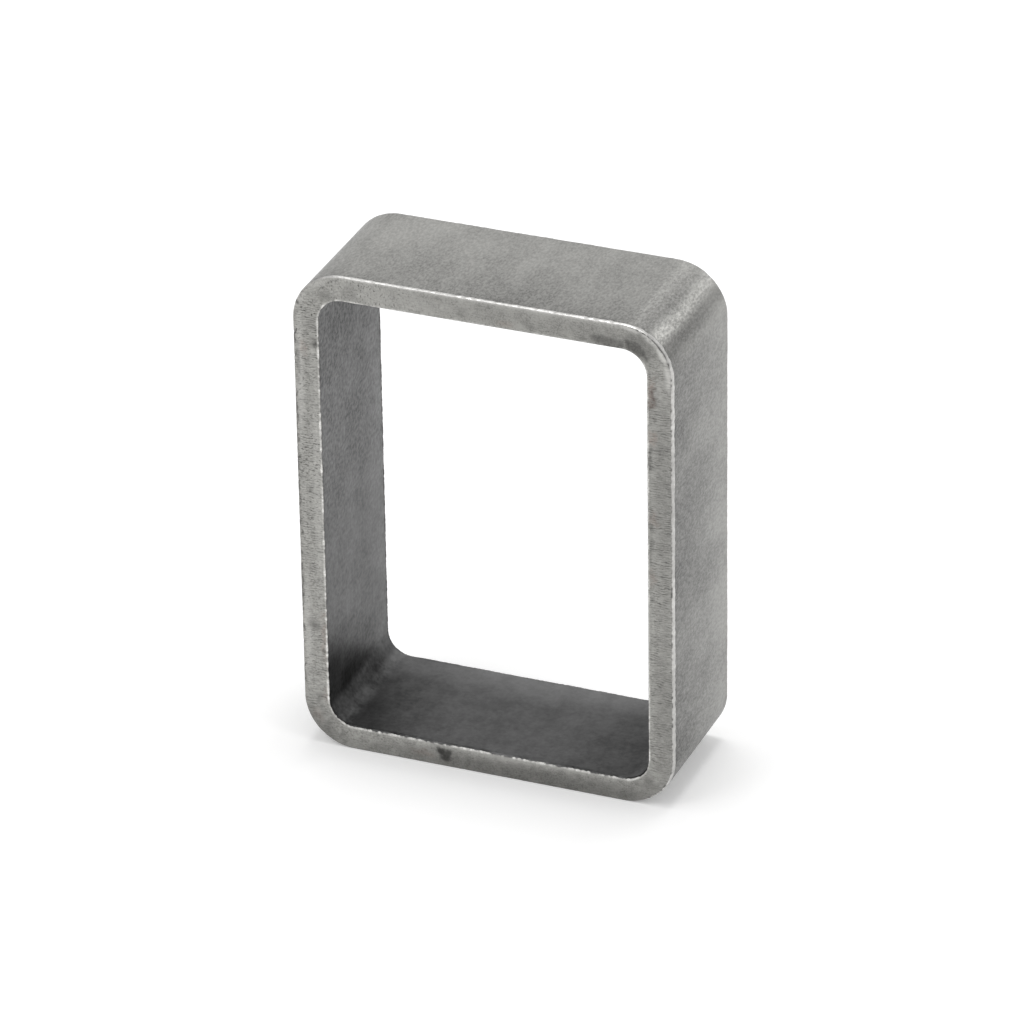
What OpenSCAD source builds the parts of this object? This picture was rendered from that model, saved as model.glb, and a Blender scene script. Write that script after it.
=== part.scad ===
// Rectangular hollow section, cold formed, sawn to a short length.
// Width runs along X, the tube's length along Y and height along Z. The section stands
// on one of its short sides, with the origin at the middle of that side.

/* [Section] */
// Outside height of the section
section_height = 80; // [40:1:200]
// Outside width of the section
section_width = 60; // [30:1:200]
// Thickness of the rolled wall
wall = 4; // [1.5:0.1:6.3]
// Radius of the outside corner bends
corner_radius = 8; // [6:0.5:12]

/* [Cut] */
// Length of the piece, from one sawn face to the other
cut_length = 23; // [10:1:1000]
// Size of the bevel that the deburring leaves round the outside of each sawn face
deburr = 0.3; // [0.1:0.05:1]

/* [Hidden] */
// The wall is bent to one thickness, so the inside bend shares the outside bend's centre
bend_radius = corner_radius - wall;
inner_width = section_width - 2 * wall;
inner_height = section_height - 2 * wall;
// How far the hollow's cutter passes each sawn face
overshoot = 1;
steel_grey = [0.62, 0.62, 0.6];
$fn = 96;

// Flat bar, `across` wide and `span` deep, with its sawn edges bevelled by the deburring
module dressed_bar(across, span) {
    half_across = across / 2;
    half_length = cut_length / 2;
    linear_extrude(height = span, center = true)
        polygon([
            [-half_across + deburr, -half_length],
            [half_across - deburr, -half_length],
            [half_across, -half_length + deburr],
            [half_across, half_length - deburr],
            [half_across - deburr, half_length],
            [-half_across + deburr, half_length],
            [-half_across, half_length - deburr],
            [-half_across, -half_length + deburr]
        ]);
}

// Round bar along Y at an outside bend, bevelled at both ends like the flats beside it
module dressed_corner() {
    half_length = cut_length / 2;
    rotate([90, 0, 0])
        rotate_extrude()
            polygon([
                [0, -half_length],
                [corner_radius - deburr, -half_length],
                [corner_radius, -half_length + deburr],
                [corner_radius, half_length - deburr],
                [corner_radius - deburr, half_length],
                [0, half_length]
            ]);
}

// Puts a copy of the child at each of the four bends
module at_bends() {
    for (side = [-1, 1], level = [-1, 1])
        translate([
            side * (section_width / 2 - corner_radius),
            0,
            level * (section_height / 2 - corner_radius)
        ])
            children();
}

// Outside form, centred on the tube's axis
module outside() {
    dressed_bar(section_width, section_height - 2 * corner_radius);
    rotate([0, 90, 0])
        dressed_bar(section_height, section_width - 2 * corner_radius);
    at_bends() dressed_corner();
}

// Hollow right through, centred on the tube's axis
module hollow() {
    through = cut_length + 2 * overshoot;
    cube([inner_width, through, inner_height - 2 * bend_radius], center = true);
    cube([inner_width - 2 * bend_radius, through, inner_height], center = true);
    at_bends()
        rotate([90, 0, 0])
            cylinder(h = through, r = bend_radius, center = true);
}

module hollow_section() {
    color(steel_grey)
        translate([0, 0, section_height / 2])
            difference() {
                outside();
                hollow();
            }
}

hollow_section();
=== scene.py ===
"""Looks of a short sawn slice of steel rectangular hollow section. All lengths are in metres."""

import logging
import math
from dataclasses import astuple, dataclass, field
from enum import Enum

import bpy
import numpy as np
from mathutils import Matrix, Vector, noise


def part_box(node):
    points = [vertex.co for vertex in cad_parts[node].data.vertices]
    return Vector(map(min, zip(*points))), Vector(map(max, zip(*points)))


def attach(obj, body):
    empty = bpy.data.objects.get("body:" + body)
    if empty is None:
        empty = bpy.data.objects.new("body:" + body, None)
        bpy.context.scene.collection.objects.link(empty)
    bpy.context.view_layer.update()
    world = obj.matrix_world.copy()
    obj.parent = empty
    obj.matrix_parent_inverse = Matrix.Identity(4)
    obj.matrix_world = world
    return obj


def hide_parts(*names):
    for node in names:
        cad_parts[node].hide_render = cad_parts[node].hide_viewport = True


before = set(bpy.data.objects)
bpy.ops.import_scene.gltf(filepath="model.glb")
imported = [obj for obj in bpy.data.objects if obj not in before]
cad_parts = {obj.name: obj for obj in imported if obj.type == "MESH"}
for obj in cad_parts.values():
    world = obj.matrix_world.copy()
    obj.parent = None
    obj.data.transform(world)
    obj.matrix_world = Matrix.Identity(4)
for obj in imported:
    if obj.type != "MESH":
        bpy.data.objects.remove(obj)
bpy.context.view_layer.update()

LOG = logging.getLogger("hollow_section")
MM = 0.001
NODE = "hollow_section"
BODY = "root"
WALL = 4.0 * MM
BEND_RADIUS = 8.0 * MM
LOW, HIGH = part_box(NODE)

Socket = bpy.types.NodeSocket
Sockets = bpy.types.NodeOutputs
Value = Socket | float | tuple[float, ...]
Values = dict[str | int, Value]
Pair = tuple[float, float]
Triple = tuple[float, float, float]
Colour = Triple


class Zone(Enum):
    """Surfaces of the section, in the order of the mesh's material slots."""

    OUTER_SKIN = 0
    SAWN_FACE = 1
    DRESSED_EDGE = 2
    BURR = 3
    INNER_SKIN = 4


class Mark(Enum):
    """Marks of the shown end that the mesh holds at its points, each from 0 to 1."""

    # Dark mark: soot together with painted shade on the broken edges, in nicks, groove and burr gaps, and on
    # the face
    SOOT_AND_SHADE = "soot_and_shade"
    RUST = "rust"
    # Bright mark: bare metal of the broken edges and burr, together with painted sheen beside them and
    # painted light on the face
    BARE_AND_SHEEN = "bare_and_sheen"
    PITTED = "pitted"


class Bend(Enum):
    """Bends of the section, by the sides of its middle that they lie on: along X and along Z."""

    UPPER_RIGHT = (1, 1)
    LOWER_RIGHT = (1, -1)
    LOWER_LEFT = (-1, -1)
    UPPER_LEFT = (-1, 1)


class Graph:
    """Adds and joins shader nodes in one tree."""

    def __init__(self, tree: bpy.types.NodeTree) -> None:
        """Keeps the tree that the nodes go into."""
        self.tree = tree

    def give(self, socket: Socket, value: Value) -> None:
        """Links an input to the value's socket, or sets it to a constant."""
        if isinstance(value, Socket):
            self.tree.links.new(value, socket)
        else:
            socket.default_value = value

    def feed(self, node: bpy.types.Node, **values: Value) -> None:
        """Gives a node its inputs, with underscores for the spaces of their names."""
        for label, value in values.items():
            self.give(node.inputs[label.replace("_", " ")], value)

    def add(self, kind: str, inputs: Values, **settings: object) -> bpy.types.Node:
        """Adds a node.

        Args:
            kind: Blender's name of the node type, less its first word, ShaderNode.
            inputs: constant or socket for each named or numbered input.
            settings: properties of the node.

        Returns:
            The new node.
        """
        node = self.tree.nodes.new("ShaderNode" + kind)
        for name, value in settings.items():
            setattr(node, name, value)
        for name, value in inputs.items():
            self.give(node.inputs[name], value)
        return node

    def math(self, operation: str, a: Value, b: Value = 0.0) -> Socket:
        """Returns the result of one Math node."""
        return self.add("Math", {0: a, 1: b}, operation=operation).outputs[0]

    def times(self, a: Value, b: Value) -> Socket:
        """Returns the product of two values."""
        return self.math("MULTIPLY", a, b)

    def minus(self, a: Value, b: Value) -> Socket:
        """Returns a less b."""
        return self.math("SUBTRACT", a, b)

    def over(self, a: Value, b: Value) -> Socket:
        """Returns a divided by b."""
        return self.math("DIVIDE", a, b)

    def total(self, first: Value, *rest: Value) -> Value:
        """Returns the sum of the values."""
        result = first
        for value in rest:
            result = self.math("ADD", result, value)
        return result

    def read(self, mark: Mark) -> Socket:
        """Returns a value that the mesh holds at its points."""
        settings = {"attribute_type": "GEOMETRY", "attribute_name": mark.value}
        return self.add("Attribute", {}, **settings).outputs["Fac"]

    def vector(self, operation: str, a: Value, b: Value) -> Socket:
        """Returns the vector result of one Vector Math node."""
        return self.add("VectorMath", {0: a, 1: b}, operation=operation).outputs["Vector"]

    def scaled(self, colour: Value, factor: Value) -> Socket:
        """Returns a colour or vector times a number."""
        inputs = {0: colour, "Scale": factor}
        return self.add("VectorMath", inputs, operation="SCALE").outputs["Vector"]

    def ramp(self, value: Value, start: Value, end: Value) -> Socket:
        """Returns a smooth step from 0 at start to 1 at end."""
        inputs = {"Value": value, "From Min": start, "From Max": end}
        return self.add("MapRange", inputs, interpolation_type="SMOOTHSTEP").outputs["Result"]

    def band(self, value: Value, middle: Value, half: Value) -> Socket:
        """Returns 1 at the middle, falling smoothly to 0 at half a width away."""
        away = self.math("ABSOLUTE", self.minus(value, middle))
        return self.minus(1.0, self.ramp(away, 0.0, half))

    def fade(self, factor: Value, low: float, high: float) -> Socket:
        """Returns a value that goes from low to high as the factor goes from 0 to 1."""
        return self.add("MapRange", {"Value": factor, "To Min": low, "To Max": high}).outputs["Result"]

    def mix(self, factor: Value, a: Value, b: Value) -> Socket:
        """Returns a colour between a and b."""
        node = self.add("Mix", {"Factor": factor}, data_type="RGBA")
        inputs = {socket.identifier: socket for socket in node.inputs}
        self.give(inputs["A_Color"], a)
        self.give(inputs["B_Color"], b)
        return next(socket for socket in node.outputs if socket.identifier == "Result_Color")

    def noise(self, at: Value, scale: Value, detail: float = 2.0, rough: Value = 0.5) -> Socket:
        """Returns fractal noise from 0 to 1, sampled at a place in millimetres."""
        inputs = {"Vector": at, "Scale": scale, "Detail": detail, "Roughness": rough}
        return self.add("TexNoise", inputs).outputs["Fac"]

    def split(self, vector: Value) -> Sockets:
        """Returns the X, Y and Z of a vector."""
        return self.add("SeparateXYZ", {0: vector}).outputs

    def join(self, x: Value, y: Value, z: Value) -> Socket:
        """Returns a vector made of three numbers."""
        return self.add("CombineXYZ", {"X": x, "Y": y, "Z": z}).outputs[0]

    def bump(self, height: Value, depth: float) -> Socket:
        """Returns a normal roughened by a height of 0 to 1 that stands for a depth in metres."""
        return self.add("Bump", {"Height": height, "Distance": depth}).outputs["Normal"]


def emptied(owner: bpy.types.Material | bpy.types.World) -> Graph:
    """Returns the graph of a material or a world, without any node."""
    owner.use_nodes = True
    owner.node_tree.nodes.clear()
    return Graph(owner.node_tree)


def placed(name: str, data: bpy.types.ID) -> bpy.types.Object:
    """Returns a new object that is in the scene."""
    made = bpy.data.objects.new(name, data)
    bpy.context.collection.objects.link(made)
    return made


def rgba(colour: Colour) -> tuple[float, float, float, float]:
    """Returns a colour with full alpha."""
    return (*colour, 1.0)


def grey(level: float) -> tuple[float, float, float, float]:
    """Returns an opaque grey."""
    return rgba((level, level, level))


class Effect:
    """A shader node group fed with a place in millimetres, built once and shared by the finishes."""

    name = "effect"
    inputs: dict[str, float] = {}
    outputs: tuple[str, ...] = ()

    def group(self) -> bpy.types.NodeTree:
        """Returns the group, made at the first call."""
        if self.name in bpy.data.node_groups:
            return bpy.data.node_groups[self.name]
        tree = bpy.data.node_groups.new(self.name, "ShaderNodeTree")
        tree.interface.new_socket("Position", in_out="INPUT", socket_type="NodeSocketVector")
        for label, start in self.inputs.items():
            socket = tree.interface.new_socket(label, in_out="INPUT", socket_type="NodeSocketFloat")
            socket.default_value = start
        for label in self.outputs:
            tree.interface.new_socket(label, in_out="OUTPUT", socket_type="NodeSocketFloat")
        graph = Graph(tree)
        given = tree.nodes.new("NodeGroupInput").outputs
        results = tree.nodes.new("NodeGroupOutput")
        graph.feed(results, **self.build(graph, given))
        return tree

    def build(self, graph: Graph, given: Sockets) -> Values:
        """Builds the nodes of the group and returns the value of each output."""
        raise NotImplementedError

    def place(self, graph: Graph, position: Value, **values: Value) -> Sockets:
        """Places the group in a material.

        Args:
            graph: the material's nodes.
            position: place on the surface, in millimetres.
            values: value of each other input, with underscores for the spaces of its name.

        Returns:
            The outputs of the placed group.
        """
        node = graph.add("Group", {"Position": position}, node_tree=self.group())
        graph.feed(node, **values)
        return node.outputs


class RollMottle(Effect):
    """Pebbly skin of rolled strip: grains drawn out along the tube, worm-like dents and broad patches."""

    name = "roll_mottle"
    inputs = {"Grain Size": 0.5, "Draw": 2.2, "Patch Size": 9.0, "Grit": 0.65}
    outputs = ("Grain", "Dent", "Patch", "Height")
    dent_shift = (37.0, 11.0, 5.0)
    dent_scale = 0.75
    dent_width = 0.05
    dent_in_patch = 0.3
    dent_depth = 0.15

    def build(self, graph: Graph, given: Sockets) -> Values:
        """Builds fine grain, dents where a second noise crosses its middle, patches and a height."""
        place = graph.vector("DIVIDE", given["Position"], graph.join(1.0, given["Draw"], 1.0))
        scale = graph.over(1.0, given["Grain Size"])
        fine = graph.noise(place, scale, 3.0, given["Grit"])
        apart = graph.vector("ADD", place, self.dent_shift)
        crossing = graph.noise(apart, graph.times(scale, self.dent_scale), 2.0, given["Grit"])
        broad = graph.noise(place, graph.over(1.0, given["Patch Size"]), 5.0, 0.7)
        patch = graph.ramp(broad, 0.35, 0.65)
        line = graph.band(crossing, 0.5, self.dent_width)
        dent = graph.times(line, graph.fade(patch, 1.0, self.dent_in_patch))
        height = graph.minus(fine, graph.times(dent, self.dent_depth))
        return {"Grain": graph.ramp(fine, 0.3, 0.7), "Dent": dent, "Patch": patch, "Height": height}


class SawMarks(Effect):
    """Level marks of the saw's teeth: thin dark wavy lines, broken here and there, on a short ripple."""

    name = "saw_marks"
    inputs = {"Pitch": 0.36, "Run": 1.6, "Waver": 2.6}
    outputs = ("Ripple", "Line", "Height")
    break_shift = (9.0, 4.0, 23.0)
    ripple_stretch = (1.0, 1.0, 4.0)
    ripple_depth = 0.6
    line_depth = 0.2

    def build(self, graph: Graph, given: Sockets) -> Values:
        """Builds lines of one pitch that noise bends and breaks, and noise longer along X than up Z."""
        parts = graph.split(given["Position"])
        level = graph.join(graph.over(parts["X"], given["Run"]), parts["Y"], parts["Z"])
        bend = graph.times(graph.noise(level, 0.9), given["Waver"])
        turn = graph.total(graph.over(parts["Z"], given["Pitch"]), bend)
        crest = graph.math("COSINE", graph.times(turn, math.tau))
        apart = graph.vector("ADD", level, self.break_shift)
        broken = graph.ramp(graph.noise(apart, 1.3, 2.0, 0.6), 0.4, 0.62)
        line = graph.times(graph.ramp(crest, 0.1, 1.0), broken)
        ripple = graph.noise(graph.vector("MULTIPLY", level, self.ripple_stretch), 1.4, 2.0, 0.6)
        height = graph.minus(graph.times(ripple, self.ripple_depth), graph.times(line, self.line_depth))
        return {"Ripple": graph.ramp(ripple, 0.32, 0.68), "Line": line, "Height": height}


class Pits(Effect):
    """Scattered small dark pits, gathered in loose patches."""

    name = "pits"
    inputs = {"Pit Size": 0.5, "Patch Size": 5.0, "Amount": 0.5}
    outputs = ("Mask",)
    shift = (17.0, 5.0, 31.0)

    def build(self, graph: Graph, given: Sockets) -> Values:
        """Builds a mask where fine noise is high inside patches of broad noise."""
        place = graph.vector("ADD", given["Position"], self.shift)
        fine = graph.noise(place, graph.over(1.0, given["Pit Size"]))
        broad = graph.noise(place, graph.over(1.0, given["Patch Size"]), 1.0)
        patch = graph.times(graph.ramp(broad, 0.2, 0.55), given["Amount"])
        return {"Mask": graph.times(graph.ramp(fine, 0.56, 0.68), patch)}


class WallPlace(Effect):
    """Place in the wall: how far it lies from the nearest bend's centre, and its angle round it."""

    name = "wall_place"
    inputs = {"Half Width": HIGH[0] / MM, "Half Height": HIGH[2] / 2 / MM, "Bend Radius": BEND_RADIUS / MM}
    outputs = ("Away", "Angle", "Right", "Upper")
    middle = 12.0

    def build(self, graph: Graph, given: Sockets) -> Values:
        """Builds the distance in millimetres, the angle and how far right and up the nearest bend is.

        The angle is 0 on level walls and 90 on upright ones. Right and Upper are 0 or 1 at the bends
        and change over the middle of a wall.
        """
        parts = graph.split(given["Position"])
        rise = graph.minus(parts["Z"], given["Half Height"])
        flat_x = graph.minus(given["Half Width"], given["Bend Radius"])
        flat_z = graph.minus(given["Half Height"], given["Bend Radius"])
        past_x = graph.minus(graph.math("ABSOLUTE", parts["X"]), flat_x)
        past_z = graph.minus(graph.math("ABSOLUTE", rise), flat_z)
        reach = graph.join(past_x, 0.0, past_z)
        turn = graph.math("ARCTAN2", graph.math("MAXIMUM", past_x, 0.0), graph.math("MAXIMUM", past_z, 0.0))
        return {
            "Away": graph.add("VectorMath", {0: reach}, operation="LENGTH").outputs["Value"],
            "Angle": graph.times(turn, 180.0 / math.pi),
            "Right": graph.ramp(parts["X"], -self.middle, self.middle),
            "Upper": graph.ramp(rise, -self.middle, self.middle),
        }


class EndShade(Effect):
    """Masks along the tube: a broken dark fringe beside the shown cut, for a smear on the outside and
    painted shadow of the burr in the hollow, and a slow change along the tube.
    """

    name = "end_shade"
    inputs = {"Half Length": HIGH[1] / MM, "Reach": 2.0}
    outputs = ("Smear And Shade", "Along", "Rear")
    smear_stretch = (0.25, 1.3, 0.25)
    lead = -0.1
    rear_start = 0.63

    def build(self, graph: Graph, given: Sockets) -> Values:
        """Builds a broken fringe at the shown end and values that rise to 1 at the far end."""
        inward = graph.math("ADD", graph.split(given["Position"])["Y"], given["Half Length"])
        fringe = graph.minus(1.0, graph.ramp(inward, 0.0, given["Reach"]))
        stretched = graph.vector("MULTIPLY", given["Position"], self.smear_stretch)
        broken = graph.ramp(graph.noise(stretched, 1.0, 3.0, 0.6), 0.35, 0.65)
        length = graph.times(given["Half Length"], 2.0)
        return {
            "Smear And Shade": graph.times(fringe, broken),
            "Along": graph.ramp(inward, graph.times(length, self.lead), length),
            "Rear": graph.ramp(inward, graph.times(length, self.rear_start), length),
        }


def unit(value: float) -> float:
    """Returns the value kept between 0 and 1."""
    return min(max(value, 0.0), 1.0)


def eased(share: float | np.ndarray) -> float | np.ndarray:
    """Returns a share of 0 to 1 that starts and ends gently."""
    return share * share * (3.0 - 2.0 * share)


@dataclass(frozen=True)
class Blotch:
    """Blotch on the shown cut face, which its list makes soot, rust, pits, painted shade or painted light:
    its centre and reach in millimetres, strength, how far noise tears its edge, tilt in degrees, and the
    share of its reach over which it fades.
    """

    x: float
    z: float
    across: float
    up: float
    strength: float
    torn: float = 0.5
    tilt: float = 0.0
    rim: float = 0.8

    def cover(self, across: np.ndarray, up: np.ndarray, shift: np.ndarray) -> np.ndarray:
        """Returns how strongly the blotch covers each place.

        Args:
            across: each place's X, in millimetres.
            up: each place's Z, in millimetres.
            shift: noise from -1 to 1 that tears the edge, two values for each place.
        """
        turn = math.radians(self.tilt)
        dx, dz = across - self.x, up - self.z
        along = (dx * math.cos(turn) + dz * math.sin(turn)) / self.across + self.torn * shift[:, 0]
        beside = (dz * math.cos(turn) - dx * math.sin(turn)) / self.up + self.torn * shift[:, 1]
        return self.strength * eased(np.clip((1.0 - np.hypot(along, beside)) / self.rim, 0.0, 1.0))


# Blotches of the shown cut face, clockwise from the top left bend, and the broad tones of its walls.
# The soot list holds soot and painted shade: the broad dark tones along the bottom and on the right wall
# are painted shade. The bare list holds bare metal and painted light: the lighter left wall and top left
# are painted light, and the bright arc inside the top right bend's broken edge is a painted highlight.
SOOT_AND_SHADE_BLOTCHES = (
    Blotch(-26.9, 71.8, 1.8, 2.4, 0.2),
    Blotch(-26.6, 68.2, 1.0, 1.5, 0.7),
    Blotch(-29.2, 74.7, 0.45, 0.8, 0.8, 0.4, 30.0),
    Blotch(-29.4, 65.0, 0.5, 4.0, 0.4, 0.7),
    Blotch(-24.6, 76.4, 2.2, 1.0, 0.3, 0.5, 25.0),
    Blotch(-29.8, 42.0, 0.28, 32.0, 0.7, 1.3),
    Blotch(-20.4, 77.6, 2.8, 1.8, 0.26),
    Blotch(-3.0, 77.6, 1.8, 1.3, 0.35),
    Blotch(-7.0, 79.0, 1.4, 0.6, 0.3),
    Blotch(8.0, 77.2, 3.0, 1.2, 0.28),
    Blotch(16.0, 77.6, 10.0, 2.6, 0.18, 0.3),
    Blotch(19.5, 76.7, 5.0, 1.6, 0.65, 0.4, -3.0),
    Blotch(24.4, 76.2, 3.6, 1.6, 0.7, 0.4, -28.0),
    Blotch(25.2, 77.6, 3.6, 2.4, 0.42, 0.4, -35.0),
    Blotch(25.8, 75.8, 2.6, 2.0, 0.35, 0.4, -42.0),
    Blotch(26.8, 68.2, 1.2, 3.6, 0.5, 0.8),
    Blotch(26.4, 58.4, 0.6, 2.8, 0.5, 0.8),
    Blotch(26.5, 44.0, 0.5, 10.0, 0.35, 0.8),
    Blotch(28.6, 52.0, 2.6, 24.0, 0.28, 0.2),
    Blotch(28.8, 16.0, 2.6, 24.0, 0.24, 0.2),
    Blotch(27.9, 7.4, 1.2, 1.6, 0.25),
    Blotch(25.9, 3.6, 3.0, 2.2, 0.35, 0.5, 45.0),
    Blotch(2.0, 78.2, 30.0, 2.8, 0.12, 0.2),
    Blotch(7.0, 0.9, 38.0, 3.0, 0.54, 0.15),
    Blotch(-7.2, 2.1, 2.6, 0.9, 0.95, 0.5, -32.0),
    Blotch(-6.7, 2.2, 2.3, 0.9, 0.9, 0.5, 40.0),
    Blotch(-7.0, 1.4, 1.8, 1.4, 0.92, 0.3),
    Blotch(-27.0, 3.0, 7.0, 3.0, 0.42, 0.4, -45.0),
    Blotch(-26.0, 4.0, 1.2, 1.0, 0.5, 0.6, 45.0),
    Blotch(-27.8, 7.6, 1.2, 1.6, 0.35, 0.7),
    Blotch(-24.4, 2.2, 1.8, 1.0, 0.35, 0.7, -20.0),
    Blotch(-26.5, 16.0, 0.5, 0.8, 0.6),
    Blotch(-28.2, 20.4, 1.4, 1.2, 0.42, 0.6, -30.0),
)
RUST_STAINS = (
    Blotch(-28.4, 67.5, 1.2, 2.2, 0.2),
    Blotch(3.9, 76.8, 2.2, 0.8, 0.15),
    Blotch(26.6, 69.0, 1.0, 3.6, 0.4),
    Blotch(26.8, 61.8, 1.0, 2.0, 0.25),
    Blotch(27.0, 48.7, 1.2, 2.2, 0.2),
    Blotch(26.7, 39.0, 1.0, 2.0, 0.2),
    Blotch(-11.0, 1.6, 2.6, 0.9, 0.2),
    Blotch(-28.0, 4.9, 1.2, 1.8, 0.2),
    Blotch(-26.5, 8.4, 0.9, 1.6, 0.2),
    Blotch(-26.4, 18.0, 0.9, 7.0, 0.2),
)
BARE_AND_SHEEN_BLOTCHES = (
    Blotch(-29.2, 62.0, 1.1, 16.0, 0.45, 0.2),
    Blotch(-29.2, 39.0, 1.0, 12.0, 0.12, 0.2),
    Blotch(-29.2, 20.0, 1.1, 14.0, 0.38, 0.2),
    Blotch(-25.6, 78.4, 3.6, 0.9, 0.45, 0.2, 28.0),
    Blotch(-28.9, 75.2, 3.2, 0.9, 0.45, 0.2, 62.0),
    Blotch(-26.8, 44.0, 1.2, 30.0, 0.28, 0.2),
    Blotch(-14.0, 78.0, 16.0, 3.4, 0.2, 0.2),
    Blotch(23.4, 79.4, 3.0, 0.6, 0.8, 0.1, -10.0),
    Blotch(26.5, 78.05, 2.6, 0.65, 1.0, 0.1, -38.0),
    Blotch(28.35, 75.9, 2.6, 0.8, 1.0, 0.1, -60.0),
    Blotch(29.25, 72.6, 2.8, 0.85, 0.8, 0.2, -82.0),
    Blotch(2.0, 3.4, 30.0, 0.7, 0.3, 0.2),
)
PITTED_STAINS = (
    Blotch(-27.0, 72.0, 7.0, 12.0, 1.0, 0.2),
    Blotch(-20.0, 78.0, 14.0, 4.0, 0.8, 0.2),
    Blotch(-28.0, 48.0, 4.0, 26.0, 0.8, 0.2),
    Blotch(-28.0, 20.0, 4.0, 14.0, 0.5, 0.2),
    Blotch(28.5, 9.0, 4.0, 9.0, 0.5, 0.2),
    Blotch(-26.0, 4.0, 7.0, 6.0, 0.55, 0.2),
)
BLOTCHES = {
    Mark.SOOT_AND_SHADE: SOOT_AND_SHADE_BLOTCHES,
    Mark.RUST: RUST_STAINS,
    Mark.BARE_AND_SHEEN: BARE_AND_SHEEN_BLOTCHES,
    Mark.PITTED: PITTED_STAINS,
}


class Finish:
    """Base of the finishes: names the material and gives it its nodes."""

    name: str

    def material(self) -> bpy.types.Material:
        """Returns the finished material."""
        made = bpy.data.materials.new(self.name)
        graph = emptied(made)
        place = graph.add("TexCoord", {}).outputs["Object"]
        shader = graph.add("BsdfPrincipled", {})
        graph.add("OutputMaterial", {"Surface": shader.outputs[0]})
        self.dress(graph, shader, graph.scaled(place, 1.0 / MM))
        return made

    def dress(self, graph: Graph, shader: bpy.types.Node, place: Socket) -> None:
        """Feeds the shader from the place on the surface, in millimetres."""
        raise NotImplementedError


@dataclass(frozen=True)
class ShadingStreak:
    """Painted highlight or shade along a bend, for reflections and shadow: its angle from the level wall and
    half its width in degrees, how far it lightens the skin, its bends, its gain at the shown end and how far
    the grain breaks it up.
    """

    angle: float
    half_width: float
    tone: float
    bends: tuple[Bend, ...] = tuple(Bend)
    front_gain: float = 1.0
    torn: float = 0.0

    def mask(self, graph: Graph, angle: Value, wall: Sockets, along: Value, grain: Value) -> Value:
        """Returns the painted highlight or shade, strongest at its angle on its own bends.

        Args:
            graph: the material's nodes.
            angle: angle of the place, slightly shifted by noise.
            wall: outputs of the placed WallPlace.
            along: 0 at the shown end and 1 at the far one.
            grain: grain of the skin, from 0 to 1.
        """
        result = graph.times(graph.band(angle, self.angle, self.half_width), self.tone)
        if self.torn:
            result = graph.times(result, graph.fade(grain, 1.0 - self.torn, 1.0 + self.torn))
        if self.front_gain != 1.0:
            result = graph.times(result, graph.fade(along, self.front_gain, 1.0))
        if len(self.bends) == len(Bend):
            return result
        sides: list[Value] = []
        for bend in self.bends:
            right, upper = bend.value
            across = wall["Right"] if right > 0 else graph.minus(1.0, wall["Right"])
            up = wall["Upper"] if upper > 0 else graph.minus(1.0, wall["Upper"])
            sides.append(graph.times(across, up))
        return graph.times(result, graph.total(*sides))


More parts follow.
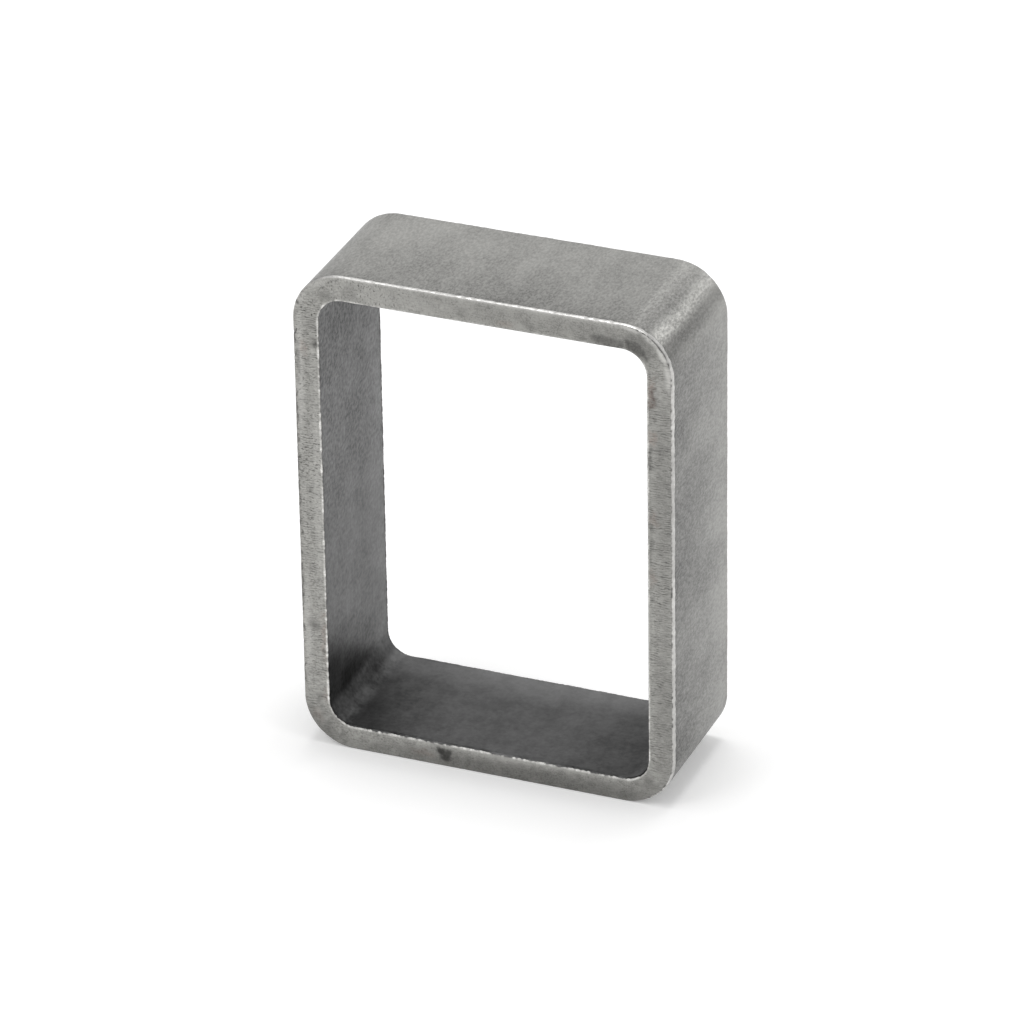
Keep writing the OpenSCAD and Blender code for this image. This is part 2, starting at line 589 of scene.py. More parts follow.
@dataclass(frozen=True)
class RolledSkin(Finish):
    """Mill finish of the rolled strip, on the outside or in the hollow.

    Tones are changes from the middle colour. A pair is for the dents and the high grains
    (roughness), the lower and the upper bends (corner_shade), or the level and the upright walls.
    Sizes are in millimetres, apart from grain_depth.

    Args:
        end_tone, painted_left_light: change at the shown end, and how much lighter it is painted on the
            left, where more light falls.
        rear_light: painted light over the far third, as from the far opening.
        smear_and_shade_tone, smear_and_shade_reach: darkening beside the shown cut, a smear on the outside
        and painted shadow of the burr in the hollow.
        corner_shade, corner_shade_reach: painted shade round the bends, and where it starts from their
            centres.
        draw, grit: how far the grain is drawn out, and how rough the finest grain is.
        upper_gain, upright_gain, front_gain: how much stronger the grain is in the upper half, on
            the upright walls and at the shown end.
        sway: how far the patches shift the painted highlights and shade of the bends, in degrees.
    """

    name: str
    colour: Colour
    roughness: Pair
    grain_depth: float
    grain_tone: float
    dent_tone: float
    patch_tone: float
    end_tone: float
    far_tone: float
    wall_light: Pair
    rear_light: Pair
    smear_and_shade_tone: float
    smear_and_shade_reach: float
    grain_size: float
    draw: float
    grit: float
    patch_size: float
    shading_streaks: tuple[ShadingStreak, ...]
    painted_left_light: float = 0.0
    corner_shade: Pair = (0.0, 0.0)
    corner_shade_reach: float = 12.0
    upper_gain: float = 1.0
    upright_gain: float = 1.0
    front_gain: float = 1.25
    metallic: float = 0.6
    inside_bend: float = (BEND_RADIUS - WALL) / MM
    sway: float = 1.5

    def dress(self, graph: Graph, shader: bpy.types.Node, place: Socket) -> None:
        """Mottles the colour and roughness, paints highlights and shade along the bends, paints light by
        wall and along the tube, and darkens the skin beside the cut.
        """
        mottle = RollMottle().place(
            graph,
            place,
            Grain_Size=self.grain_size,
            Draw=self.draw,
            Patch_Size=self.patch_size,
            Grit=self.grit,
        )
        wall = WallPlace().place(graph, place)
        shade = EndShade().place(graph, place, Reach=self.smear_and_shade_reach)
        angle = graph.total(wall["Angle"], graph.fade(mottle["Patch"], -self.sway, self.sway))
        upright = graph.ramp(wall["Angle"], 0.0, 90.0)
        # Painted shade round the bends, full inside them
        corner_shade_mask = graph.times(graph.ramp(wall["Away"], self.corner_shade_reach, self.inside_bend), -1.0)
        texture = graph.total(
            graph.fade(mottle["Grain"], -self.grain_tone, self.grain_tone),
            graph.times(mottle["Dent"], -self.dent_tone),
        )
        gain = graph.times(
            graph.fade(wall["Upper"], 1.0, self.upper_gain),
            graph.fade(upright, 1.0, self.upright_gain),
        )
        gain = graph.times(gain, graph.fade(shade["Along"], self.front_gain, 1.0))
        # Painted light: the shown end lighter on the left
        end = graph.total(self.end_tone, graph.fade(wall["Right"], self.painted_left_light, -self.painted_left_light))
        tone = graph.total(
            1.0,
            graph.times(texture, gain),
            graph.fade(mottle["Patch"], -self.patch_tone, self.patch_tone),
            graph.times(shade["Along"], self.far_tone),
            graph.times(graph.minus(1.0, shade["Along"]), end),
            # Painted light: level walls lighter than upright ones
            graph.fade(upright, *self.wall_light),
            # A smear beside the cut outside, painted shadow of the burr in the hollow
            graph.times(shade["Smear And Shade"], -self.smear_and_shade_tone),
            # Painted light over the far third, as from the far opening
            graph.times(shade["Rear"], graph.fade(upright, *self.rear_light)),
            graph.times(corner_shade_mask, graph.fade(wall["Upper"], *self.corner_shade)),
            # Painted highlights and shade along the bends
            *(s.mask(graph, angle, wall, shade["Along"], mottle["Grain"]) for s in self.shading_streaks),
        )
        graph.feed(
            shader,
            Base_Color=graph.scaled(self.colour, tone),
            Metallic=self.metallic,
            Roughness=graph.fade(mottle["Grain"], *self.roughness),
            Normal=graph.bump(graph.times(mottle["Height"], gain), self.grain_depth),
        )


@dataclass(frozen=True)
class SawnFace(Finish):
    """Bare steel across the wall where the saw went through, with the blotches of the shown end: soot, rust
    and pits, painted shade, and painted sheen and light.

    A pair of tones, shares or reliefs is for the level and the upright walls, and a pair named torn
    for the lowest and the highest grain. Dots and ticks are pits: their size, amount and stretch.
    """

    name: str = "sawn_face"
    colour: Colour = (0.36, 0.356, 0.336)
    # Pale colour for bare metal and for the painted sheen and light that the bright mark carries
    bare_and_sheen: Colour = (0.80, 0.79, 0.76)
    rust: Colour = (0.30, 0.19, 0.15)
    # Near black for soot and for the painted shade that the dark mark carries
    soot_and_shade: Colour = (0.035, 0.034, 0.032)
    metallic: float = 0.65
    roughness: Pair = (0.38, 0.52)
    depth: float = 0.06 * MM
    pitch: float = 0.4
    grain_size: float = 0.35
    patch_size: float = 3.0
    ripple_tone: float = 0.15
    grain_tone: float = 0.22
    patch_tone: float = 0.07
    line_tone: Pair = (-0.1, -0.42)
    dent_tone: Pair = (-0.3, -0.14)
    ripple_share: Pair = (0.4, 1.0)
    grain_share: Pair = (1.0, 0.75)
    line_relief: Pair = (0.3, 0.8)
    mottle_relief: Pair = (0.6, 0.35)
    upright_from: Pair = (30.0, 85.0)
    dots: Pair = (0.27, 0.85)
    ticks: Pair = (0.25, 0.95)
    dots_stretch: Triple = (1.0, 1.0, 0.6)
    ticks_stretch: Triple = (0.45, 1.0, 1.0)
    clean_pits: float = 0.2
    bare_and_sheen_share: float = 0.6
    torn_rust: Pair = (0.35, 1.35)
    torn_soot_and_shade: Pair = (1.7, 0.6)

    def pits(self, graph: Graph, place: Socket, stretch: Triple, kind: Pair) -> Socket:
        """Returns the mask of one kind of pits."""
        drawn = graph.vector("MULTIPLY", place, stretch)
        return Pits().place(graph, drawn, Pit_Size=kind[0], Amount=kind[1])["Mask"]

    def dress(self, graph: Graph, shader: bpy.types.Node, place: Socket) -> None:
        """Draws the saw's lines on the upright walls and mottle on the level ones, then the blotches with
        their painted shade and sheen.
        """
        marks = SawMarks().place(graph, place, Pitch=self.pitch)
        mottle = RollMottle().place(
            graph, place, Grain_Size=self.grain_size, Draw=1.0, Patch_Size=self.patch_size, Grit=0.5
        )
        wall = WallPlace().place(graph, place)
        upright = graph.ramp(wall["Angle"], *self.upright_from)
        ripple = graph.fade(marks["Ripple"], -self.ripple_tone, self.ripple_tone)
        grain = graph.fade(mottle["Grain"], -self.grain_tone, self.grain_tone)
        tone = graph.total(
            graph.times(ripple, graph.fade(upright, *self.ripple_share)),
            graph.times(marks["Line"], graph.fade(upright, *self.line_tone)),
            graph.times(grain, graph.fade(upright, *self.grain_share)),
            graph.times(mottle["Dent"], graph.fade(upright, *self.dent_tone)),
            graph.fade(mottle["Patch"], 1.0 - self.patch_tone, 1.0 + self.patch_tone),
        )
        # Bare metal and painted sheen lighten the face, then rust colours it
        bare_and_sheen_share = graph.times(graph.read(Mark.BARE_AND_SHEEN), self.bare_and_sheen_share)
        colour = graph.mix(bare_and_sheen_share, graph.scaled(self.colour, tone), rgba(self.bare_and_sheen))
        rusty = graph.times(graph.read(Mark.RUST), graph.fade(mottle["Grain"], *self.torn_rust))
        colour = graph.mix(rusty, colour, rgba(self.rust))
        dots = self.pits(graph, place, self.dots_stretch, self.dots)
        ticks = self.pits(graph, place, self.ticks_stretch, self.ticks)
        pits = graph.total(graph.times(dots, graph.minus(1.0, upright)), graph.times(ticks, upright))
        pits = graph.times(pits, graph.fade(graph.read(Mark.PITTED), self.clean_pits, 1.0))
        # Soot, painted shade and pits darken the face
        power = graph.fade(mottle["Grain"], *self.torn_soot_and_shade)
        dirt_and_shade = graph.math("MAXIMUM", graph.math("POWER", graph.read(Mark.SOOT_AND_SHADE), power), pits)
        height = graph.total(
            graph.times(marks["Height"], graph.fade(upright, *self.line_relief)),
            graph.times(mottle["Height"], graph.fade(upright, *self.mottle_relief)),
        )
        graph.feed(
            shader,
            Base_Color=graph.mix(dirt_and_shade, colour, rgba(self.soot_and_shade)),
            Metallic=self.metallic,
            Roughness=graph.fade(mottle["Grain"], *self.roughness),
            Normal=graph.bump(height, self.depth),
        )


@dataclass(frozen=True)
class BrightEdge(Finish):
    """Bright metal with a painted highlight where the edge was broken, dull where it was left, broken up by
    the grain and darkened by painted shade.
    """

    name: str
    bright: Colour
    dull: Colour
    roughness: Pair
    broken: float
    grain_depth: float
    # Near black for the painted shade that the dark mark carries on the edges and the burr
    soot_and_shade: Colour = (0.03, 0.03, 0.028)
    metallic: float = 0.9

    def dress(self, graph: Graph, shader: bpy.types.Node, place: Socket) -> None:
        """Varies the brightness along the edge, breaks it up with the grain and darkens it with painted
        shade where the marks say so.
        """
        mottle = RollMottle().place(graph, place, Grain_Size=0.35, Draw=1.0, Patch_Size=2.5)
        # The bright mark: bare filed metal with a painted highlight, dulled where the grain breaks it
        breaks = graph.times(graph.minus(1.0, mottle["Grain"]), self.broken)
        bare_and_sheen = graph.times(graph.read(Mark.BARE_AND_SHEEN), graph.minus(1.0, breaks))
        colour = graph.mix(bare_and_sheen, rgba(self.dull), rgba(self.bright))
        graph.feed(
            shader,
            Base_Color=graph.mix(graph.read(Mark.SOOT_AND_SHADE), colour, rgba(self.soot_and_shade)),
            Metallic=self.metallic,
            Roughness=graph.fade(mottle["Patch"], *self.roughness),
            Normal=graph.bump(mottle["Height"], self.grain_depth),
        )


OUTER_SKIN = RolledSkin(
    name="outer_skin",
    colour=(0.325, 0.322, 0.308),
    roughness=(0.46, 0.38),
    grain_depth=0.012 * MM,
    grain_tone=0.18,
    dent_tone=0.2,
    patch_tone=0.11,
    end_tone=-0.17,
    # Painted light: lighter on the left at the shown end
    painted_left_light=0.08,
    far_tone=0.11,
    # Painted light: level walls lighter than upright ones
    wall_light=(0.01, -0.07),
    # Painted light on the far third of the upright walls
    rear_light=(0.0, 0.08),
    smear_and_shade_tone=0.2,
    smear_and_shade_reach=2.2,
    grain_size=0.36,
    draw=1.9,
    grit=0.65,
    patch_size=8.0,
    upright_gain=0.7,
    # Painted light and shade: level walls lighter and upright ones darker, painted reflections across the
    # upper bends with a painted highlight at 43 degrees on the upper right one, and painted shade on the
    # lower right bend by the floor
    shading_streaks=(
        ShadingStreak(0.0, 12.0, 0.12),
        ShadingStreak(11.0, 9.0, 0.16, (Bend.UPPER_RIGHT,), 1.0, 0.5),
        ShadingStreak(27.0, 8.0, -0.10, (Bend.UPPER_RIGHT,)),
        ShadingStreak(43.0, 14.0, 0.52, (Bend.UPPER_RIGHT,), 1.9, 0.45),
        ShadingStreak(63.0, 12.0, -0.18, (Bend.UPPER_RIGHT,), 0.2),
        ShadingStreak(20.0, 18.0, 0.22, (Bend.UPPER_LEFT,)),
        ShadingStreak(60.0, 20.0, -0.25, (Bend.UPPER_LEFT,)),
        ShadingStreak(54.0, 20.0, -0.8, (Bend.LOWER_RIGHT,), 0.6),
        ShadingStreak(74.0, 18.0, -0.36, (Bend.LOWER_RIGHT,), -0.2),
        ShadingStreak(90.0, 14.0, -0.16),
    ),
)
INNER_SKIN = RolledSkin(
    name="inner_skin",
    colour=(0.115, 0.115, 0.115),
    roughness=(0.42, 0.34),
    grain_depth=0.017 * MM,
    grain_tone=0.053,
    dent_tone=0.08,
    patch_tone=0.19,
    end_tone=0.02,
    far_tone=-0.02,
    # Painted light and shade: the hollow's level walls lighter, its upright walls darker
    wall_light=(0.05, -0.2),
    # Painted light on the hollow's far third, most on its bottom, as from the far opening
    rear_light=(0.85, 0.4),
    # Painted shadow of the burr on the hollow's wall beside the shown cut
    smear_and_shade_tone=0.4,
    smear_and_shade_reach=0.9,
    # Painted shade deep in the hollow's bends, more in the lower ones
    corner_shade=(0.42, 0.22),
    corner_shade_reach=14.0,
    grain_size=0.62,
    draw=1.1,
    grit=0.35,
    patch_size=4.0,
    upper_gain=3.0,
    # Painted shade deep in the hollow's bends, with a lighter band at 45 degrees across the upper ones
    shading_streaks=(
        ShadingStreak(20.0, 22.0, -0.45, (Bend.UPPER_RIGHT, Bend.UPPER_LEFT)),
        ShadingStreak(45.0, 10.0, 0.10, (Bend.UPPER_RIGHT, Bend.UPPER_LEFT)),
        ShadingStreak(70.0, 22.0, -0.50, (Bend.UPPER_RIGHT, Bend.UPPER_LEFT)),
        ShadingStreak(20.0, 22.0, -0.25, (Bend.LOWER_RIGHT,)),
        ShadingStreak(70.0, 22.0, -0.30, (Bend.LOWER_RIGHT,)),
        ShadingStreak(16.0, 22.0, -0.32, (Bend.LOWER_LEFT,)),
        ShadingStreak(43.0, 30.0, -0.26, (Bend.LOWER_LEFT,)),
        ShadingStreak(74.0, 22.0, -0.28, (Bend.LOWER_LEFT,)),
    ),
)
DRESSED_EDGE = BrightEdge(
    name="dressed_edge",
    # Bare filed metal with a painted highlight
    bright=(0.90, 0.89, 0.87),
    dull=(0.33, 0.325, 0.31),
    roughness=(0.28, 0.38),
    broken=0.35,
    grain_depth=0.008 * MM,
)
BURR = BrightEdge(
    name="burr",
    # Bare burr metal with a painted glint
    bright=(0.92, 0.91, 0.88),
    dull=(0.16, 0.16, 0.15),
    roughness=(0.28, 0.4),
    broken=0.5,
    grain_depth=0.03 * MM,
)


@dataclass(frozen=True)
class Round:
    """One value for each wall and bend, clockwise from the top, blended between them."""

    top: float
    top_right: float
    right: float
    bottom_right: float
    bottom: float
    bottom_left: float
    left: float
    top_left: float

    def at(self, normal: Vector) -> float:
        """Returns the value where the outside faces along the normal."""
        values = astuple(self)
        turn = math.atan2(normal.x, normal.z) / math.tau % 1.0 * len(values)
        first = int(turn)
        share = eased(turn - first)
        return values[first % len(values)] * (1.0 - share) + values[(first + 1) % len(values)] * share


@dataclass(frozen=True)
class WallPoint:
    """Point of a ring through the wall, with the zone of the strip that starts at it and its marks."""

    place: Vector
    zone: Zone
    bare_and_sheen: float = 0.0
    soot_and_shade: float = 0.0


@dataclass
class CutEnd:
    """One sawn end of the section.

    Args:
        facing: -1 for the shown end at -Y, 1 for the far end.
        seed: shift of the noise, so that the two ends differ.
        across, back: size of the broken edge across the sawn face and along the tube.
        bare_and_sheen, edge_shade: how bright the broken edge is, bare metal with a painted highlight, and
            how
        dark painted shade makes it, most along the bottom by the floor, from 0 to 1.
        burr: width of the burr along the inner edge.
        lip: how far the burr's tip stands over the hollow, in widths of the burr.
        notch, deep_nick: depth of the nicks in the outer edge, and from which depth their painted shade is
            full.
        painted_sheen, painted_sheen_reach: painted sheen on the sawn face beside the broken edge, how bright
            and how far.
        groove_shade, dark_reach: painted shade of a groove along the inside of the broken edge, how dark and
            how far.
        columns, crowding: points across the sawn face, and how they crowd towards that edge.
        relief, sink: depth of the saw's marks, and how far they all lie below the cut.
        ledge: from the broken edge to the first point of the sawn face.
        run, slope: how long the saw's marks are for their height, and how far they rise.
    """

    facing: int
    seed: float
    across: Round
    back: Round
    bare_and_sheen: Round
    burr: Round
    lip: Round
    notch: Round
    painted_sheen: Round
    groove_shade: Round
    edge_shade: Round
    columns: int
    relief: float = 0.06 * MM
    sink: float = 0.01 * MM
    ledge: float = 0.04 * MM
    crowding: float = 1.25
    painted_sheen_reach: float = 0.22 * MM
    dark_reach: float = 0.13 * MM
    deep_nick: float = 0.15 * MM
    run: float = 4.0
    slope: float = 0.02

    def wave(self, at: Vector, size: float, shift: float) -> float:
        """Returns noise of a size in millimetres, from about -1 to 1, that differs with the shift."""
        return noise.noise(at / (size * MM) + Vector((self.seed, shift, shift)))

    def wobble(self, at: Vector) -> float:
        """Returns how the broken edge widens and narrows along its way, about 1."""
        return 1.0 + 0.3 * self.wave(at, 3.4, 1.0) + 0.35 * self.wave(at, 0.8, 2.0)

    def nick(self, at: Vector, normal: Vector) -> float:
        """Returns the depth of the nicks at a place on the outer edge, more in some places."""
        crowded = max(0.5 + 0.8 * self.wave(at, 6.0, 3.0), 0.0)
        return self.notch.at(normal) * max(1.7 * self.wave(at, 0.55, 4.0) - 0.2, 0.0) * crowded

    def gleam(self, at: Vector, bare_and_sheen: float) -> float:
        """Returns the brightness of the broken edge, patchy where it is dull and even where it is bright."""
        patchy = 0.5 * self.wave(at, 2.6, 10.0) + 0.6 * self.wave(at, 0.8, 11.0)
        return unit(bare_and_sheen * (1.0 + 1.3 * (1.05 - bare_and_sheen) * patchy))

    def dark_line(self, at: Vector, groove_shade: float) -> float:
        """Returns the painted shade of the groove inside the broken edge, broken up where it is faint."""
        spots = 7.0 * (1.0 - groove_shade) * self.wave(at, 0.5, 12.0)
        return unit(groove_shade * (0.6 + 0.5 * groove_shade + spots))

    def ragged(self, at: Vector) -> float:
        """Returns the height of the burr at a place on the inner edge, from 0.35 to 1."""
        coarse = 0.6 * self.wave(at, 2.6, 5.0) + 0.6 * self.wave(at, 0.95, 6.0)
        return 0.35 + 0.65 * unit(0.5 + coarse + 0.7 * self.wave(at, 0.45, 13.0))

    def depth(self, at: Vector, side: float) -> float:
        """Returns how deep the sawn face lies below its highest mark.

        Args:
            at: place on the face.
            side: 1 on the upright walls, where the teeth bite deepest, and 0 on the level ones.
        """
        level = Vector((at.x / self.run, 0.0, at.z + self.slope * at.x))
        line = (0.2 + 0.5 * side) * self.wave(level, 0.4, 7.0)
        swell = 0.25 * self.wave(level, 2.2, 8.0)
        grit = (0.5 - 0.2 * side) * self.wave(at, 0.5, 9.0)
        return self.relief * unit(0.5 + 0.5 * (line + swell + grit))

    def rows(self, outer: Vector, normal: Vector, face: float, wall: float, steps: int) -> list[WallPoint]:
        """Returns the points across the cut, from the outside to the hollow.

        Args:
            outer: point on the outside line.
            normal: outward normal there.
            face: Y of the cut.
            wall: thickness of the wall.
            steps: strips of the broken edge.
        """
        size = self.wobble(outer)
        nick = self.nick(outer, normal)
        across, back = self.across.at(normal) * size + nick, self.back.at(normal) * size + nick
        # Painted shade in deep nicks, on the broken edge along the bottom by the floor, and in the groove
        # inside it
        bare_and_sheen, nick_shade = self.gleam(outer, self.bare_and_sheen.at(normal)), min(nick / self.deep_nick, 1.0)
        edge_shade, groove_shade = max(nick_shade, self.edge_shade.at(normal)), self.dark_line(outer, self.groove_shade.at(normal))
        found: list[WallPoint] = []

        def put(depth: float, below: float, zone: Zone, bright: float = 0.0, soot_and_shade: float = 0.0) -> None:
            """Adds the point at a depth in the wall and below the cut."""
            place = outer - normal * depth
            place.y = face - self.facing * below
            found.append(WallPoint(place, zone, bright, soot_and_shade))

        for step in range(steps + 1):
            share = step / steps
            turn = share * math.pi / 2
            inward = across * (share + 1.0 - math.cos(turn)) / 2
            below = back * (2.0 - share - math.sin(turn)) / 2
            put(inward, below, Zone.DRESSED_EDGE, bare_and_sheen, max(edge_shade, groove_shade * max(2.0 * share - 1.0, 0.0)))
        height = self.ragged(outer - normal * wall)
        full = self.burr.at(normal)
        burr = full * height
        tip = wall + full * (self.lip.at(normal) + 0.8 * (height - 0.7))
        crest = min(tip, wall)
        first, last = across + self.ledge, crest - burr
        side, painted_sheen = abs(normal.x), self.painted_sheen.at(normal)
        for column in range(self.columns):
            depth = first + (last - first) * (column / (self.columns - 1)) ** self.crowding
            # Painted sheen fading from the bright broken edge, and painted shade fading from the nicks and
            # the groove
            glow = bare_and_sheen * painted_sheen * math.exp((across - depth) / self.painted_sheen_reach)
            dark = max(nick_shade, groove_shade) * math.exp((across - depth) / self.dark_reach)
            low = self.sink + self.depth(outer - normal * depth, side)
            put(depth, low, Zone.SAWN_FACE, glow, dark)
        # The burr's outline in shares of its own width: bare metal with a painted glint where it stands
        # high, painted shade in its gaps where it is low
        gap_shade = 0.8 * unit(2.0 - 2.6 * height)
        found[-1] = WallPoint(found[-1].place, Zone.BURR, height)
        put(crest - 0.55 * burr, 0.0, Zone.BURR, height)
        put(crest - 0.1 * burr, 0.1 * burr, Zone.BURR, height, gap_shade)
        put(tip, 0.5 * burr, Zone.INNER_SKIN)
        put(wall, 0.9 * burr, Zone.INNER_SKIN)
        return found


def sizes(*tenths: float) -> Round:
    """Returns sizes in metres from tenths of a millimetre, clockwise from the top."""
    return Round(*(0.1 * MM * tenth for tenth in tenths))


def shown_end() -> CutEnd:
    """Returns the end towards the camera, broken by a file at the top and right and burred inside."""
    return CutEnd(
        facing=-1,
        seed=11.3,
        across=sizes(1.6, 1.9, 2.5, 2.8, 1.2, 1.0, 1.0, 1.0),
        back=sizes(4.4, 6.3, 7.0, 5.0, 1.6, 1.2, 1.0, 1.4),
        bare_and_sheen=Round(1.0, 1.0, 0.52, 1.0, 0.14, 0.1, 0.1, 0.3),
        burr=sizes(1.4, 1.2, 1.4, 2.4, 3.4, 2.4, 2.7, 2.4),
        lip=Round(0.2, 0.2, 0.2, -0.6, -0.7, -0.3, 0.3, 0.3),
        notch=sizes(0.0, 0.0, 0.3, 0.5, 0.8, 0.8, 2.2, 2.4),
        # Painted sheen beside the broken edge, painted shade in its groove and on it along the bottom
        painted_sheen=Round(1.0, 0.0, 0.1, 0.1, 0.0, 0.0, 0.2, 0.4),
        groove_shade=Round(0.0, 1.0, 0.3, 0.5, 0.0, 0.0, 0.0, 0.0),
        edge_shade=Round(0.0, 0.0, 0.0, 0.0, 0.6, 0.4, 0.1, 0.0),
        columns=23,
    )


def far_end() -> CutEnd:
    """Returns the far end, finished like the shown one but more evenly."""
    return CutEnd(
        facing=1,
        seed=47.9,
        across=sizes(2.4, 2.4, 2.4, 2.0, 2.0, 2.0, 2.2, 2.2),
        back=sizes(2.4, 2.4, 2.4, 2.0, 2.0, 2.0, 2.2, 2.2),
        bare_and_sheen=Round(0.7, 0.6, 0.5, 0.4, 0.3, 0.3, 0.5, 0.6),
        burr=sizes(2.0, 2.0, 2.0, 2.2, 2.5, 2.2, 2.0, 2.0),
        lip=Round(0.3, 0.3, 0.3, 0.3, 0.3, 0.3, 0.3, 0.3),
        notch=sizes(0.3, 0.3, 0.3, 0.5, 0.8, 0.8, 0.8, 0.5),
        # Painted sheen beside the broken edge, and painted shade on it along the bottom
        painted_sheen=Round(0.5, 0.4, 0.3, 0.2, 0.2, 0.2, 0.3, 0.4),
        groove_shade=Round(0.0, 0.0, 0.0, 0.0, 0.0, 0.0, 0.0, 0.0),
        edge_shade=Round(0.0, 0.0, 0.0, 0.1, 0.3, 0.1, 0.0, 0.0),
        columns=15,
    )


def outward(turn: float) -> Vector:
    """Returns the direction that a turn of so many quarters leads to, clockwise from straight up."""
    angle = turn * math.pi / 2
    return Vector((math.sin(angle), 0.0, math.cos(angle)))


@dataclass
class HollowSection:
    """The hollow section as one closed mesh, made of rings that run round its wall.

    Args:
        upright_step, level_step, bend_step: about the distance of the rings.
        settle: distances from each cut at which points hold the skin flat.
        blotch_depth: how far the blotches reach back from the shown cut.
        tear_size: size of the noise that tears the blotches, in millimetres.
        tear_seed: seed of that noise, so that each run tears them alike.
    """

    width: float
    length: float
    height: float
    wall: float = WALL
    bend_radius: float = BEND_RADIUS
    upright_step: float = 0.2 * MM
    level_step: float = 0.22 * MM
    bend_step: float = 0.22 * MM
    bevel_steps: int = 4
    settle: tuple[float, ...] = (0.12 * MM, 0.5 * MM, 2.0 * MM)
    blotch_depth: float = 0.8 * MM
    tear_size: float = 1.3
    tear_seed: int = 7
    shown: CutEnd = field(default_factory=shown_end)
    far: CutEnd = field(default_factory=far_end)

    def stations(self) -> list[tuple[Vector, Vector]]:
        """Returns points round the outside line with their outward normals, both in X and Z."""
        radius = self.bend_radius
        centre = Vector((self.width / 2 - radius, 0.0, self.height - radius))
        bend_count = round(radius * math.pi / 2 / self.bend_step)
        found: list[tuple[Vector, Vector]] = []
        for quarter in range(4):
            for step in range(bend_count):
                normal = outward(quarter + step / bend_count)
                found.append((centre + radius * normal, normal))
            upright = quarter % 2 == 0
            span = (self.height if upright else self.width) - 2 * radius
            count = round(span / (self.upright_step if upright else self.level_step))
            normal, along = outward(quarter + 1), outward(quarter + 2)
            first = centre + radius * normal
            found += [(first + along * span * step / count, normal) for step in range(count)]
            centre = centre + along * span
        return found

    def ring(self, outer: Vector, normal: Vector) -> list[WallPoint]:
        """Returns one closed loop through the wall: shown end, hollow, far end and outside."""
        half = self.length / 2
        shown = self.shown.rows(outer, normal, -half, self.wall, self.bevel_steps)
        far = self.far.rows(outer, normal, half, self.wall, self.bevel_steps)[::-1]
        zones = [point.zone for point in far[1:]] + [Zone.OUTER_SKIN]
        far = [WallPoint(p.place, zone, p.bare_and_sheen, p.soot_and_shade) for p, zone in zip(far, zones)]
        inner = outer - normal * self.wall
        hollow = self.straight(inner, shown[-1].place.y, far[0].place.y, Zone.INNER_SKIN)
        outside = self.straight(outer, far[-1].place.y, shown[0].place.y, Zone.OUTER_SKIN)
        return shown + hollow + far + outside

    def straight(self, line: Vector, start: float, end: float, zone: Zone) -> list[WallPoint]:
        """Returns points along Y between two ends, close together beside each end."""
        way = math.copysign(1.0, end - start)
        places = [start + way * s for s in self.settle] + [(start + end) / 2]
        places += [end - way * s for s in reversed(self.settle)]
        return [WallPoint(Vector((line.x, y, line.z)), zone) for y in places]

    def blotch(self, points: np.ndarray) -> dict[Mark, np.ndarray]:
        """Returns how strongly the blotches of soot, rust, pits, painted shade and painted light mark each
        point, none away from the shown end.
        """
        shown = np.flatnonzero(points[:, 1] < self.blotch_depth - self.length / 2)
        places = points[shown] / MM
        noise.seed_set(self.tear_seed)
        tears = [noise.turbulence_vector(Vector(p) / self.tear_size, 3, False) for p in places]
        shift = np.array([(tear.x, tear.z) for tear in tears])
        marks = {mark: np.zeros(len(points)) for mark in Mark}
        for mark, blotches in BLOTCHES.items():
            for blotch in blotches:
                cover = blotch.cover(places[:, 0], places[:, 2], shift)
                marks[mark][shown] = np.maximum(marks[mark][shown], cover)
        return marks

    def build(self) -> bpy.types.Object:
        """Returns the finished mesh object."""
        rings = [self.ring(outer, normal) for outer, normal in self.stations()]
        count, rows = len(rings), len(rings[0])
        points = np.array([tuple(p.place) for ring in rings for p in ring])
        ring_index = np.arange(count)[:, None]
        row_index = np.arange(rows)[None, :]
        here = ring_index * rows
        there = (ring_index + 1) % count * rows
        up = (row_index + 1) % rows
        quads = np.stack([here + row_index, here + up, there + up, there + row_index], axis=-1)
        mesh = bpy.data.meshes.new(NODE)
        mesh.from_pydata(points.tolist(), [], quads.reshape(-1, 4).tolist())
        finishes = {
            Zone.OUTER_SKIN: OUTER_SKIN,
            Zone.SAWN_FACE: SawnFace(),
            Zone.DRESSED_EDGE: DRESSED_EDGE,
            Zone.BURR: BURR,
            Zone.INNER_SKIN: INNER_SKIN,
        }
        for zone in Zone:
            mesh.materials.append(finishes[zone].material())
        mesh.polygons.foreach_set("material_index", np.tile([p.zone.value for p in rings[0]], count))
        marks = self.blotch(points)
        # The rows add painted sheen to the bright mark and painted shade to the dark mark
        marks[Mark.BARE_AND_SHEEN] = np.maximum(marks[Mark.BARE_AND_SHEEN], [p.bare_and_sheen for ring in rings for p in ring])
        marks[Mark.SOOT_AND_SHADE] = np.maximum(marks[Mark.SOOT_AND_SHADE], [p.soot_and_shade for ring in rings for p in ring])
        for mark, values in marks.items():
            mesh.attributes.new(mark.value, "FLOAT", "POINT").data.foreach_set("value", values)
        mesh.shade_smooth()
        mesh.update()
        return placed("steel_section", mesh)

    def dress(self, piece: bpy.types.Object) -> None:
        """Puts the mesh in the place of the plain solid."""
        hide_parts(NODE)
        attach(piece, BODY)


@dataclass(frozen=True)
class Softbox:
    """Square lamp, in metres and watts."""

    name: str
    place: Triple
    size: float
    watts: float

    def hang(self, aim: Vector) -> None:
        """Hangs the lamp so that it faces a point, unseen by the camera."""
        data = bpy.data.lights.new(self.name, "AREA")
        data.size = self.size
        data.energy = self.watts
        lamp = placed(self.name, data)
        lamp.location = self.place
        lamp.rotation_euler = (aim - Vector(self.place)).to_track_quat("-Z", "Y").to_euler()
        lamp.visible_camera = False


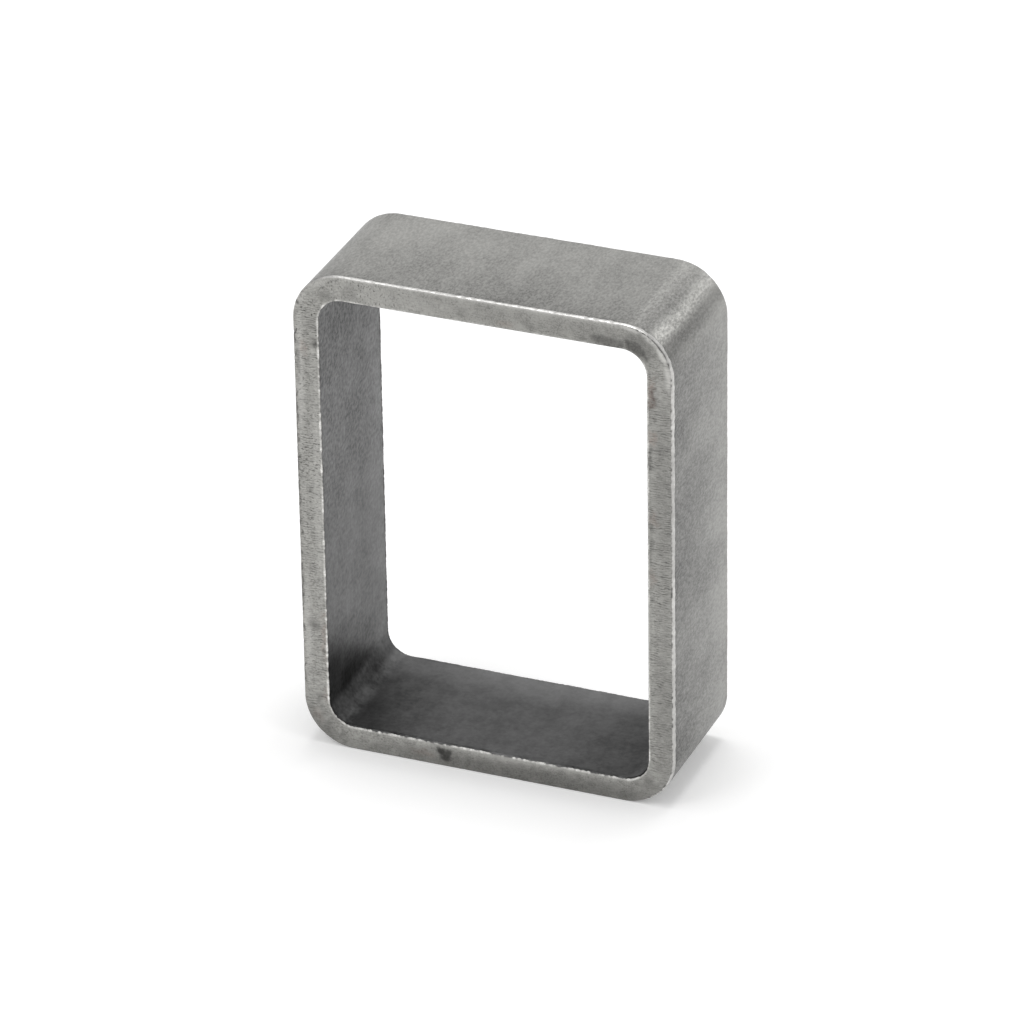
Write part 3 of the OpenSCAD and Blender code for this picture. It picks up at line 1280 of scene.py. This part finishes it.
@dataclass
class Studio:
    """Pale floor, soft lamps and the camera.

    The floor has one grey where it lights the section and another, with a glow, where the camera and
    mirrors see it. Angles are in degrees, and the sensor and the lens in millimetres.
    """

    floor_size: float = 6.0
    floor_bounce: float = 0.8
    floor_seen: float = 0.95
    floor_glow: float = 0.2
    sky: float = 0.6
    lamps: tuple[Softbox, ...] = (
        Softbox("overhead_softbox", (0.0, 0.08, 1.0), 0.38, 3.3),
        Softbox("front_softbox", (-0.35, -0.5, 0.85), 0.3, 0.82),
        Softbox("rear_softbox", (0.1, 0.8, 0.8), 0.35, 0.5),
        Softbox("side_softbox", (0.33, 0.82, 0.52), 0.35, 0.3),
        Softbox("right_softbox", (0.62, -0.22, 0.58), 0.15, 0.22),
    )
    camera_distance: float = 1.04788
    azimuth: float = 22.3957
    elevation: float = 28.2019
    roll: float = -0.9096
    slide_right: float = -0.2 * MM
    slide_up: float = -0.688 * MM
    aim_height: float = HIGH[2] / 2
    sensor: float = 36.0
    lens: float = 246.0
    clip: Pair = (0.05, 20.0)

    def lay_floor(self) -> None:
        """Lays a white floor that keeps the section's shadow."""
        half = self.floor_size / 2
        mesh = bpy.data.meshes.new("floor")
        corners = [(-half, -half, 0.0), (half, -half, 0.0), (half, half, 0.0), (-half, half, 0.0)]
        mesh.from_pydata(corners, [], [(0, 1, 2, 3)])
        made = bpy.data.materials.new("white_floor")
        graph = emptied(made)
        paths = graph.add("LightPath", {}).outputs
        seen = graph.math("MAXIMUM", paths["Is Camera Ray"], paths["Is Glossy Ray"])
        seen = graph.math("MAXIMUM", seen, paths["Is Transmission Ray"])
        matt = graph.add("BsdfDiffuse", {"Color": grey(self.floor_bounce)})
        pale = graph.add("BsdfDiffuse", {"Color": grey(self.floor_seen)})
        glow = graph.add("Emission", {"Color": grey(1.0), "Strength": self.floor_glow})
        lifted = graph.add("AddShader", {0: pale.outputs[0], 1: glow.outputs[0]})
        mixed = graph.add("MixShader", {0: seen, 1: matt.outputs[0], 2: lifted.outputs[0]})
        graph.add("OutputMaterial", {"Surface": mixed.outputs[0]})
        mesh.materials.append(made)
        placed("floor", mesh)

    def light(self) -> None:
        """Sets a soft world and hangs the lamps."""
        world = bpy.data.worlds.new("studio")
        bpy.context.scene.world = world
        graph = emptied(world)
        sky = graph.add("Background", {"Color": grey(1.0), "Strength": self.sky})
        graph.add("OutputWorld", {"Surface": sky.outputs[0]})
        for lamp in self.lamps:
            lamp.hang(Vector((0.0, 0.0, self.aim_height)))

    def set_camera(self) -> None:
        """Stands the camera where the photograph was taken."""
        azimuth, elevation, roll = (math.radians(a) for a in (self.azimuth, self.elevation, self.roll))
        level = Vector((math.cos(azimuth), math.sin(azimuth), 0.0))
        away = Vector((math.sin(azimuth), -math.cos(azimuth), 0.0))
        back = away * math.cos(elevation) + Vector((0.0, 0.0, math.sin(elevation)))
        upright = back.cross(level)
        right = level * math.cos(roll) + upright * math.sin(roll)
        up = upright * math.cos(roll) - level * math.sin(roll)
        place = Vector((0.0, 0.0, self.aim_height)) + back * self.camera_distance
        place += right * self.slide_right + up * self.slide_up
        data = bpy.data.cameras.new("camera")
        data.sensor_width = self.sensor
        data.lens = self.lens
        data.clip_start, data.clip_end = self.clip
        camera = placed("camera", data)
        turned = Matrix((right, up, back)).transposed().to_4x4()
        camera.matrix_world = Matrix.Translation(place) @ turned
        bpy.context.scene.camera = camera

    def build(self) -> None:
        """Builds the floor, the light and the camera."""
        self.lay_floor()
        self.light()
        self.set_camera()
        bpy.context.scene.view_settings.view_transform = "Standard"


def main() -> None:
    """Builds the section and its studio, and reports each piece."""
    logging.basicConfig(level=logging.INFO, format="%(name)s: %(message)s")
    section = HollowSection(width=HIGH[0] - LOW[0], length=HIGH[1] - LOW[1], height=HIGH[2] - LOW[2])
    piece = section.build()
    section.dress(piece)
    LOG.info("%s: %d faces", piece.name, len(piece.data.polygons))
    Studio().build()


if __name__ == "__main__":
    main()
